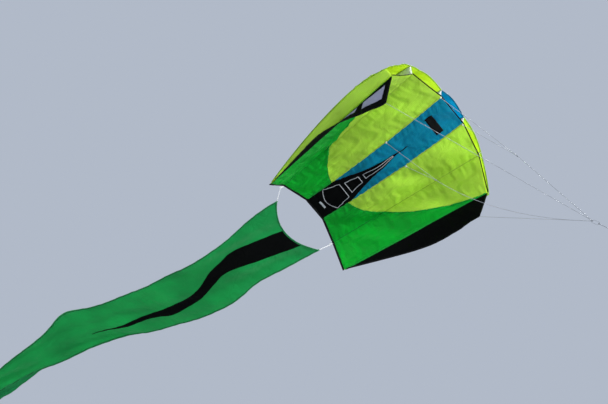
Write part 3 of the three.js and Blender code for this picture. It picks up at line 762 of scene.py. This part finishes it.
# ---- Seams, hems and bindings on the wing

SEAM_HALF = 0.0032
SEAM_RISE = 0.0007


def surface_band(surface, span, chord, material, half_width=SEAM_HALF, rise=SEAM_RISE):
    """A sewn band along a line of span and chord places on the belly or the back."""
    span, chord = matched(span, chord)
    path = surface(span, chord, -0.0002 if surface is belly else 0.0002)
    return band(path, outward_up(span, surface), half_width, rise, material)


def outward_up(span, surface):
    return up_at(span) * (-1.0 if surface is belly else 1.0)


def add_wing_seams():
    seams = {"lime": [], "green": [], "blue": [], "black": []}
    for rib in range(RIB_COUNT):
        seam = belly_seam(rib) if 0 < rib < RIB_COUNT - 1 else 0.0
        if seam > 0.05:
            seams["lime"].append(surface_band(belly, rib, np.linspace(0, seam, 90), LIME_SEAM))
        chord = np.linspace(max(seam, 0.01), 0.995, 90)
        seams["green"].append(surface_band(belly, rib, chord, GREEN_SEAM))
        color, material = ("blue", BLUE_SEAM) if rib in (2, 3) else ("lime", LIME_SEAM)
        seams[color].append(surface_band(back, rib, np.linspace(0.0, 0.99, 160), material))
    turn = np.linspace(math.asin(0.5 / MIDDLE), math.asin(2.48 / MIDDLE), 120)
    for side in (-1, 1):
        span = MIDDLE + side * MIDDLE * np.sin(turn)
        seams["green"].append(surface_band(belly, span, belly_seam(span), GREEN_SEAM, 0.0026))
    for side in (-1, 1):
        chord = np.linspace(SPINE_TIP + 0.02, SPINE_FULL - 0.005, 90)
        span = MIDDLE + side * np.maximum(spine_half_width(chord) - 0.012, 0.003)
        seams["black"].append(surface_band(belly, span, chord, BLACK_SEAM, 0.0014, 0.0009))
    for color, bands in seams.items():
        finished(joined(f"seams_{color}", bands))


def rolled_edge(name, path, back_direction, up_direction, width, height, material):
    """A folded hem with rounded long sides, along an edge path."""
    angles = np.linspace(0, 2 * math.pi, 13)[:-1]
    across = (np.sign(np.cos(angles)) * np.abs(np.cos(angles)) ** 0.45) * width / 2
    level = (np.sign(np.sin(angles)) * np.abs(np.sin(angles)) ** 0.7) * height / 2
    section = back_direction[:, None] * across[None, :, None] + up_direction[:, None] * level[None, :, None]
    uvs = pairs(along_path(path)[:, None], across[None])
    return ring_mesh(name, path[:, None] + section, uvs, material, inside_out=True)


def add_hems():
    span = np.linspace(0.0, 5.0, 241)
    up = up_at(span)
    ahead = np.broadcast_to(X_AXIS, up.shape)
    flutter = 0.0006 * ripple(span * 3.1, 0.4)[:, None] * up
    middle = (belly(span, 1, 0, False) + back(span, 1, 0, False)) / 2
    path = middle - ahead * (HEM_WIDTH / 2 - 0.0012) + flutter
    hem = rolled_edge("hem_trailing_edge", path, -ahead, up, HEM_WIDTH + 0.001, 0.0036, BLACK_SEAM)
    finished(hem, "trailing_hem")
    path = belly(span, 0, 0.0004) + ahead * 0.0016
    binding = rolled_edge("binding_lower_lip", path, ahead, up, 0.0046, 0.0017, BLACK_SEAM)
    finished(binding, "lower_lip_binding")
    lips = {"lime": [], "blue": []}
    for cell, cell_name in enumerate(CELLS):
        span = np.linspace(cell + CELL_EDGE, cell + 1 - CELL_EDGE, 41)
        lip = back(span, 0, -0.0003)
        ahead = np.broadcast_to(X_AXIS, lip.shape)
        color, material = ("blue", BLUE_SEAM) if cell_name == "middle" else ("lime", LIME_SEAM)
        edge = rolled_edge("lip", lip - ahead * 0.001, ahead, up_at(span), 0.005, 0.0015, material)
        lips[color].append(edge)
    for color, edges in lips.items():
        finished(joined(f"hem_upper_lip_{color}", edges))


add_wing_seams()
add_hems()

# ---- Plain decoration on the spine

PLATES = (
    ((-0.44, 0.893), (-0.27, 0.795), (0.27, 0.795), (0.44, 0.893)),
    ((-0.21, 0.765), (-0.12, 0.678), (0.12, 0.678), (0.21, 0.765)),
    ((-0.085, 0.648), (-0.014, 0.440), (0.014, 0.440), (0.085, 0.648)),
)
PLATE_REAR_BOW = (0.030, 0.0, 0.0)


def add_plates():
    """Outlines of three plain plates, sewn in pale thread on the spine."""
    lines = []
    for corners, bow in zip(PLATES, PLATE_REAR_BOW):
        ring = list(corners) + [corners[0]]
        for (s0, c0), (s1, c1) in zip(ring[:-1], ring[1:]):
            t = np.linspace(0, 1, 16)
            is_rear = abs(c0 - c1) < 1e-6 and c0 == max(c for _, c in corners)
            chord = c0 + (c1 - c0) * t + (bow * arch(t) if is_rear else 0.0)
            span = MIDDLE + s0 + (s1 - s0) * t
            path = belly(span, chord, -0.0005)
            lines.append(band(path, outward_up(span, belly), 0.0011, 0.0006, PLATE_THREAD))
    finished(joined("spine_plate_outlines", lines))


def add_labels():
    """Blank woven labels: a dark one near the nose and a pale one near the trailing edge."""
    for name, chord_low, chord_high, half_span, material in (
            ("blank_label_nose", 0.112, 0.162, 0.29, BLACK_SEAM),
            ("blank_label_rear", 0.945, 0.957, 0.17, PLATE_THREAD)):
        span = MIDDLE + np.linspace(-half_span, half_span, 13)[:, None]
        chord = np.linspace(chord_low, chord_high, 7)[None]
        outer, inner = (belly(span, chord, lift) for lift in (-0.0011, -0.0005))
        finished(closed_sheet(name, outer, inner, cloth_uv(span, chord), material))


add_plates()
add_labels()

# ---- Side fins


def fin_directions(rib, share):
    """Directions down the fin and out of its outer face."""
    side = np.sign(rib - MIDDLE)
    run = np.clip((share - FIN_CORNER_CHORD) / FIN_SPLAY_RUN, 0, 1)
    splay = FIN_SPLAY * np.sin(math.pi / 2 * run ** FIN_SPLAY_POWER)
    zero = np.zeros_like(splay)
    hang = np.stack([zero, side * np.sin(splay), -np.cos(splay)], axis=-1)
    out = np.stack([zero, side * np.cos(splay), np.sin(splay)], axis=-1)
    return hang, out


def fin_depth(share):
    front = FIN_DEPTH * share / FIN_CORNER_CHORD
    t = np.clip((share - FIN_CORNER_CHORD) / (1 - FIN_CORNER_CHORD), 0, 1)
    rear = FIN_DEPTH * (1 - t) + FIN_EDGE_BELLY * np.sin(math.pi * t)
    return np.where(share < FIN_CORNER_CHORD, front, rear)


def fin_points(rib, share, depth, out_by=0.0):
    share, depth = matched(share, depth)
    hang, out = fin_directions(rib, share)
    foot = belly(rib, share, 0, False)
    wave = 0.0022 * ripple(share * 5.2, 0.9 + rib) * (depth / FIN_DEPTH) ** 1.5
    wave = wave + 0.0007 * ripple(share * 24.0 + depth * 20, 1.7) * np.clip(depth / 0.04, 0, 1)
    return foot + hang * depth[..., None] + out * (wave + out_by)[..., None]


def add_fin(rib, side_name):
    rear = FIN_CORNER_CHORD + (0.985 - FIN_CORNER_CHORD) * np.linspace(0, 1, 61) ** 1.15
    share = np.concatenate([np.linspace(0.006, FIN_CORNER_CHORD, 9)[:-1], rear])[:, None]
    top = 0.0008
    level = np.linspace(0, 1, 19)[None]
    depth = top + (np.maximum(fin_depth(share), top + 0.002) - top) * level
    outer, inner = (fin_points(rib, share, depth, lift) for lift in (SHEET / 2, -SHEET / 2))
    uvs = pairs(share * CHORD_METRES, depth)
    fin = closed_sheet(f"cloth_fin_{side_name}", outer, inner, uvs, BLACK)
    finished(fin, f"fin_{side_name}")
    declare_sheet(fin_points(rib, share, depth))
    add_fin_hem(rib, side_name, share[:, 0])
    add_fin_pane(rib, f"fin_pane_front_{side_name}", FRONT_PANE)
    add_fin_pane(rib, f"fin_pane_rear_{side_name}", REAR_PANE)


def add_fin_hem(rib, side_name, line):
    edges = []
    inset = 0.0030
    for face in (1.0, -1.0):
        for part in (line <= FIN_CORNER_CHORD, line >= FIN_CORNER_CHORD):
            place = line[part]
            path = fin_points(rib, place, np.maximum(fin_depth(place) - inset, 0.001), face * SHEET / 2)
            out = fin_directions(rib, place)[1] * face
            edges.append(band(path, out, inset, 0.0007, BLACK_SEAM))
    finished(joined(f"hem_fin_{side_name}", edges))


def add_fin_pane(rib, node, corners):
    """A grey pane sewn on the outer face of a fin, with a dark rim."""
    a, b, c, d = (np.array(corner) for corner in corners)
    i = np.linspace(0, 1, 25)[:, None]
    places = mixed(mixed(a, d, i), mixed(b, c, i), np.linspace(0, 1, 13)[None])
    share, depth = places[..., 0], places[..., 1]
    outer, inner = (fin_points(rib, share, depth, lift) for lift in (0.0014, 0.0007))
    uvs = pairs(share * CHORD_METRES, depth)
    finished(closed_sheet(f"cloth_{node}", outer, inner, uvs, GREY), node)
    rims = []
    for start, end in ((a, b), (b, c), (c, d), (d, a)):
        share, depth = mixed(start, end, np.linspace(0, 1, 20)).T
        path = fin_points(rib, share, depth, 0.0013)
        out = fin_directions(rib, share)[1]
        rims.append(band(path, out, 0.0016, 0.0005, BLACK_SEAM))
    finished(joined(f"rim_{node}", rims))


add_fin(0, "right")
add_fin(RIB_COUNT - 1, "left")

# ---- Tabs for the lines

TAPE_THICKNESS = 0.0007
TAPE_OPENING = 0.0011
EYE_INSET = 0.0012


def tape_loop(node, root, direction, width_axis, width, length):
    """A folded tape: two legs from root that meet in a round eye at the far end."""
    side = np.cross(direction, width_axis)
    eye = TAPE_OPENING + TAPE_THICKNESS
    reach = length - eye
    legs = {}
    for sign in (-1, 1):
        legs[sign] = [root + side * sign * eye * (0.35 + 0.65 * t) + direction * reach * t
                      for t in np.linspace(0, 1, 6)[:-1]]
    bend = [root + direction * (reach + eye * math.cos(a)) + side * eye * math.sin(a)
            for a in np.linspace(-math.pi / 2, math.pi / 2, 13)]
    path = np.array(legs[-1] + bend + legs[1][::-1])
    normals = unit(np.cross(unit(np.gradient(path, axis=0)), width_axis))
    across = np.linspace(-1, 1, 5) * width / 2
    grid = path[:, None] + width_axis * across[None, :, None]
    shift = normals[:, None] * (TAPE_THICKNESS / 2)
    uvs = pairs(along_path(path)[:, None], across[None])
    finished(closed_sheet(f"tape_{node}", grid + shift, grid - shift, uvs, WHITE_TAPE), node)


def box_of(node):
    """Low corner, high corner and middle of a node's box."""
    low, high = (np.array(corner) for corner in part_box(node))
    return low, high, (low + high) / 2


def add_tabs():
    for side_name in ("right", "left"):
        for kind in ("front", "rear"):
            node = f"{kind}_tab_{side_name}"
            low, high, middle = box_of(node)
            root = np.array((middle[0], middle[1], high[2] + 0.0006))
            tape_loop(node, root, DOWN, X_AXIS, high[0] - low[0], root[2] - low[2])
        node = f"tail_tab_{side_name}"
        low, high, middle = box_of(node)
        root = np.array((high[0] + 0.003, middle[1], middle[2]))
        tape_loop(node, root, -X_AXIS, Y_AXIS, high[1] - low[1], root[0] - low[0])


add_tabs()

# ---- Bridle


def straight_path(start, end, count=60):
    return mixed(start, end, np.linspace(0, 1, count))


def add_cord(name, node, path, diameter, material, body="kite"):
    piece = finished(tube(name, path, diameter / 2, material), node, body=body)
    float(along_path(path)[-1])


def add_bridle_cord(node, path):
    add_cord(f"cord_{node}", node, path, BRIDLE_DIAMETER, PALE_BRAID)


def add_tied(node, path, diameter, material, body="kite", closed=True):
    """A knot, coil or loop tied in a cord."""
    return finished(tube(f"tied_{node}", path, diameter / 2, material, closed, sides=8), node, body=body)


def tab_eye(node):
    """Middle of the eye at the lower end of a hanging tab."""
    low, _, middle = box_of(node)
    return np.array((middle[0], middle[1], low[2] + EYE_INSET))


def trefoil(centre, size, axis, count=72):
    """Path of a tight overhand knot round an axis."""
    t = np.linspace(0, 2 * math.pi, count, endpoint=False)
    x = np.sin(t) + 2 * np.sin(2 * t)
    y = np.cos(t) - 2 * np.cos(2 * t)
    loops = np.stack([x, y, -1.15 * np.sin(3 * t)], axis=-1)
    turn = np.array(Vector(axis).to_track_quat("Z", "Y").to_matrix())
    return centre + (loops * size / 3) @ turn.T


def add_bridle():
    for side_name, side, rib in (("right", -1, 0), ("left", 1, RIB_COUNT - 1)):
        beside = Y_AXIS * side * 0.0012
        for kind, fork in (("front", FRONT_FORK), ("rear", REAR_FORK)):
            eye = tab_eye(f"{kind}_tab_{side_name}")
            add_bridle_cord(f"{kind}_leg_{side_name}", straight_path(eye, fork + beside))
        corner = fin_points(rib, FIN_CORNER_CHORD, FIN_DEPTH - 0.0035)
        start = corner + unit(TOW_KNOT - corner) * 0.002
        add_bridle_cord(f"fin_line_{side_name}", straight_path(start, TOW_KNOT + beside))
    add_bridle_cord("front_line", straight_path(FRONT_FORK, TOW_KNOT))
    slack = REAR_LINE_SLACK * arch(np.linspace(0, 1, 60))[:, None]
    route = straight_path(REAR_FORK, TOW_KNOT - X_AXIS * BRIDLE_DIAMETER)
    add_bridle_cord("rear_line", route + slack * np.array((-0.85, 0, -0.5)))
    for node, place, axis, size in (
            ("front_fork_knot", FRONT_FORK, TOW_KNOT - FRONT_FORK, 0.0026),
            ("rear_fork_knot", REAR_FORK, TOW_KNOT - REAR_FORK, 0.0026),
            ("tow_knot", TOW_KNOT, LINE_DIRECTION, 0.0034)):
        add_tied(node, trefoil(place, size, axis), BRIDLE_DIAMETER, PALE_BRAID)


def stadium(centre, length, width, count=24):
    """Path of a narrow loop along the line: two straight sides and two round ends."""
    across = np.array((-LINE_DIRECTION[2], 0, LINE_DIRECTION[0]))
    radius = width / 2
    reach = length / 2 - radius
    path = []
    for end, first in ((1, -math.pi / 2), (-1, math.pi / 2)):
        for angle in np.linspace(first, first + math.pi, count):
            outward = LINE_DIRECTION * math.cos(angle) + across * math.sin(angle)
            path.append(centre + LINE_DIRECTION * end * reach + outward * radius)
    return np.array(path)


def add_line_end():
    """Tow loop, and the short end of the flying line hitched through it."""
    low = TOW_KNOT + LINE_DIRECTION * 0.0028
    length = float(np.dot(-low, LINE_DIRECTION))
    loop = stadium(low + LINE_DIRECTION * length / 2, length, TOW_LOOP_WIDTH)
    add_tied("tow_loop", loop, LOOP_DIAMETER, PALE_BRAID)

    tangent = np.array((math.cos(LINE_LEAN), 0.0, math.sin(LINE_LEAN)))
    t = np.linspace(-1, 1, 60)[:, None]
    angle = t * 2.5 * math.pi
    turns = Y_AXIS * np.sin(angle) - LINE_DIRECTION * np.cos(angle)
    hitch = tangent * (t * HITCH_HALF_LENGTH) + turns * HITCH_COIL
    add_tied("line_hitch", hitch, LINE_DIAMETER, DARK_BRAID, "hitch", closed=False)

    knot_place = box_of("line_end_knot")[2]
    knot_path = trefoil(knot_place, 0.003, LINE_DIRECTION)
    knot = add_tied("line_end_knot", knot_path, LINE_DIAMETER * 1.1, DARK_BRAID, "line")
    loop = stadium(box_of("line_end_loop")[2], LINE_LOOP_LENGTH, LINE_LOOP_WIDTH)
    end_loop = add_tied("line_end_loop", loop, LINE_DIAMETER, DARK_BRAID, "line")
    add_cord("cord_flying_line", "flying_line", straight_path(LINE_DIRECTION * 0.0024, knot_place),
             LINE_DIAMETER, DARK_BRAID, "line")


add_bridle()
add_line_end()

# ---- Tail

TAIL_START = TAIL[4] * np.array((1, 0, 1)) + np.array((-TAIL_SETBACK, 0, -TAIL_DROP))
# Snake stripe: (run, distance to the left of the middle plane) along its two edges.
STRIPE_RIGHT = (
    (0.0, -0.004), (0.07, -0.024), (0.27, -0.084), (0.37, -0.064), (0.445, -0.014),
    (0.54, 0.020), (0.62, 0.039), (0.70, 0.048), (0.81, 0.059), (0.87, 0.060), (0.96, 0.053))
STRIPE_LEFT = (
    (0.0, 0.096), (0.07, 0.072), (0.20, 0.024), (0.285, -0.010), (0.34, -0.020), (0.415, 0.010),
    (0.485, 0.043), (0.56, 0.061), (0.62, 0.077), (0.70, 0.068), (0.81, 0.077), (0.87, 0.070),
    (0.96, 0.056))
STRIPE_END = 0.955
STRIPE_ROUNDING = 0.022


def tail_width(run):
    return np.maximum(TAIL_WIDTH * (1 - (np.abs(run) / TAIL_RUN) ** TAIL_TAPER_POWER), TAIL_END_WIDTH)


def tail_lift(run):
    return TAIL_LIFT * smooth((run - TAIL_LIFT_START) / TAIL_LIFT_RUN)


def tail_sway(run):
    return -TAIL_SWAY * np.sin(2 * math.pi * run / TAIL_SWAY_RUN) + TAIL_SHIFT * smooth(run / 0.25)


def tail_normals(run):
    slope = (tail_lift(run + 0.001) - tail_lift(run - 0.001)) / 0.002
    return unit(np.stack([slope, np.zeros_like(slope), np.ones_like(slope)], axis=-1))


def tail_points(run, share, lift=0.0, fine=True):
    """Points of the streamer: run along it, share across it from -0.5 on the right to 0.5."""
    run, share = matched(run, share)
    height = np.zeros_like(run) + lift
    reach = 4 * share ** 2
    waist = np.sign(share) * reach * np.exp(-((run - TAIL_WAIST_RUN) / 0.130) ** 2)
    flare = np.where(share < 0, reach, 0) * np.exp(-((run - TAIL_FLARE_RUN) / 0.080) ** 2)
    if fine:
        height = height + 0.007 * smooth(run / 0.3) * ripple(run / 0.33 + 0.8 * share, 0.5)
        height = height + 0.0065 * smooth(run / 0.1) * ripple(2.1 * share + 1.3 * run, 1.9)
        height = height + 0.0012 * ripple(run / 0.055 + 2.4 * share, 4.1)
    y = tail_sway(run) + share * tail_width(run) - TAIL_WAIST * waist - TAIL_FLARE_OUT * flare
    base = TAIL_START + np.stack([-run, y, tail_lift(run) + TAIL_FLARE_UP * flare], axis=-1)
    return base + tail_normals(run) * height[..., None]


def rounded_through(points, run):
    """Distance read off a line through points whose corners are rounded."""
    places, values = zip(*points)
    shifts = np.linspace(-1, 1, 7) * STRIPE_ROUNDING
    return np.mean([np.interp(run + shift, places, values) for shift in shifts], axis=0)


def stripe_edges(run):
    """Right and left edges of the snake stripe, as shares of the width."""
    width = tail_width(run)
    right = rounded_through(STRIPE_RIGHT, run) - tail_sway(run)
    left = np.maximum(rounded_through(STRIPE_LEFT, run) - tail_sway(run), right + 0.001)
    return right / width, left / width


TAIL_CUTS = (0.0, 0.640, 1.060, TAIL_RUN)
BEND_REACH = 0.130
TAIL_HALF = 0.00008
JOIN_COLUMN = 0.001


def tail_blend(piece, part, *nodes):
    """Hides the nodes that a piece of the tail stands for and bakes its place into its mesh."""
    if nodes:
        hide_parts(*nodes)
    joint_run = TAIL_BREAKS[part + 1]
    start, end = (tail_points(joint_run + reach, 0.0, 0, False) for reach in (-BEND_REACH, BEND_REACH))
    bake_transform(piece)


def add_tail_cloth():
    row_counts = (10, 6, 12)
    nodes = (("tail_length_1", "tail_length_2"), ("tail_length_3",), ("tail_length_4",))
    for part in range(3):
        first, last = TAIL_CUTS[part], TAIL_CUTS[part + 1]
        hollow = TAIL_FRONT_HOLLOW if part == 0 else 0.0
        columns = round((last - first) / 0.008)
        u = np.linspace(0, 1, columns - 1)
        u = np.concatenate([[0, JOIN_COLUMN], u[1:-1], [1 - JOIN_COLUMN, 1]])
        middle_run = first + hollow * (1 - u) + (last - first) * u
        right, left = (edge[:, None] for edge in stripe_edges(middle_run))
        t = [np.linspace(0, 1, n + 1)[None] for n in row_counts]
        share = np.concatenate([
            -0.5 + (right + 0.5) * t[0],
            (right + (left - right) * t[1])[:, 1:],
            (left + (0.5 - left) * t[2])[:, 1:]], axis=1)
        run = first + (last - first) * u[:, None] + hollow * (1 - (2 * share) ** 2) * (1 - u[:, None])
        black_rows = range(row_counts[0], row_counts[0] + row_counts[1])

        def slot_of(i, j, rows=black_rows, runs=middle_run):
            return 1 if j in rows and runs[i] < STRIPE_END else 0

        uvs = pairs(share * tail_width(run), run)
        outer, inner = (tail_points(run, share, lift) for lift in (TAIL_HALF, -TAIL_HALF))
        piece = closed_sheet(f"cloth_tail_{part + 1}", outer, inner, uvs, [TAIL_GREEN, BLACK],
                             slot_of=slot_of)
        tail_blend(piece, part, *nodes[part])
        hem = add_tail_hem(part)
        declare_sheet(tail_points(run, share, 0, False))


def add_tail_hem(part):
    """Turned hems along both long edges, the front edge and the far end."""
    inset = 0.0032
    first, last = TAIL_CUTS[part], TAIL_CUTS[part + 1]
    run = np.linspace(first, last, 100)
    lines = [(run, side * (0.5 - inset / tail_width(run)), 0.0007) for side in (-1, 1)]
    if part == 0:
        share = np.linspace(-0.49, 0.49, 80)
        lines.append((inset + TAIL_FRONT_HOLLOW * (1 - (2 * share) ** 2), share, 0.0007))
    if part == 2:
        share = np.linspace(-0.5, 0.5, 8)
        lines.append((np.full_like(share, last - inset), share, 0.0008))
    bands = []
    for face in (1.0, -1.0):
        for run, share, rise in lines:
            path = tail_points(run, share, face * TAIL_HALF)
            bands.append(band(path, tail_normals(run) * face, inset, rise, TAIL_SEAM))
    hem = joined(f"hem_tail_{part + 1}", bands)
    tail_blend(hem, part)
    return hem


def add_tail_cords():
    for side_name, side in (("right", -1), ("left", 1)):
        low, _, middle = box_of(f"tail_tab_{side_name}")
        start = np.array((low[0] + EYE_INSET, middle[1], middle[2]))
        path = straight_path(start, tail_points(0.004, side * 0.488), 30)
        add_cord(f"cord_tail_{side_name}", f"tail_cord_{side_name}", path, TAIL_CORD_DIAMETER,
                 WHITE_BRAID, "tail_cords")


add_tail_cloth()
add_tail_cords()

# ---- Lights and floor

FLOOR_DROP = 12.5
SKY_LIGHT = 1.1


def add_stage():
    bpy.ops.mesh.primitive_plane_add(size=120, location=(0, 0, -FLOOR_DROP))
    floor = bpy.context.active_object
    floor.name = "floor"
    paint = bpy.data.materials.new("floor_paint")
    paint.use_nodes = True
    shader = paint.node_tree.nodes["Principled BSDF"]
    shader.inputs["Base Color"].default_value = (0.33, 0.34, 0.37, 1)
    shader.inputs["Roughness"].default_value = 0.9
    floor.data.materials.append(paint)

    world = bpy.data.worlds.new("pale_sky")
    world.use_nodes = True
    background = world.node_tree.nodes["Background"]
    background.inputs["Color"].default_value = (0.44, 0.49, 0.58, 1)
    # The backdrop shows at strength 1; what the sky gives to the object is set apart from that.
    rays = world.node_tree.nodes.new("ShaderNodeLightPath")
    strength = world.node_tree.nodes.new("ShaderNodeMapRange")
    strength.inputs["To Min"].default_value = SKY_LIGHT
    strength.inputs["To Max"].default_value = 1.0
    world.node_tree.links.new(rays.outputs["Is Camera Ray"], strength.inputs["Value"])
    world.node_tree.links.new(strength.outputs["Result"], background.inputs["Strength"])
    bpy.context.scene.world = world


def add_sun(name, direction, strength, angle):
    data = bpy.data.lights.new(name, "SUN")
    data.energy = strength
    data.angle = math.radians(angle)
    sun = bpy.data.objects.new(name, data)
    bpy.context.scene.collection.objects.link(sun)
    sun.matrix_world = Vector(direction).to_track_quat("Z", "Y").to_matrix().to_4x4()


add_stage()
bpy.context.scene.view_settings.view_transform = "Standard"
add_sun("sun_above", (0.25, 0.42, 0.87), 7.6, 8)
add_sun("rake_from_nose", (0.96, 0.04, -0.22), 10.2, 3)
add_sun("side_right", (-0.15, -0.94, -0.28), 5.6, 20)
add_sun("side_left", (0.05, 0.94, -0.28), 3.4, 20)
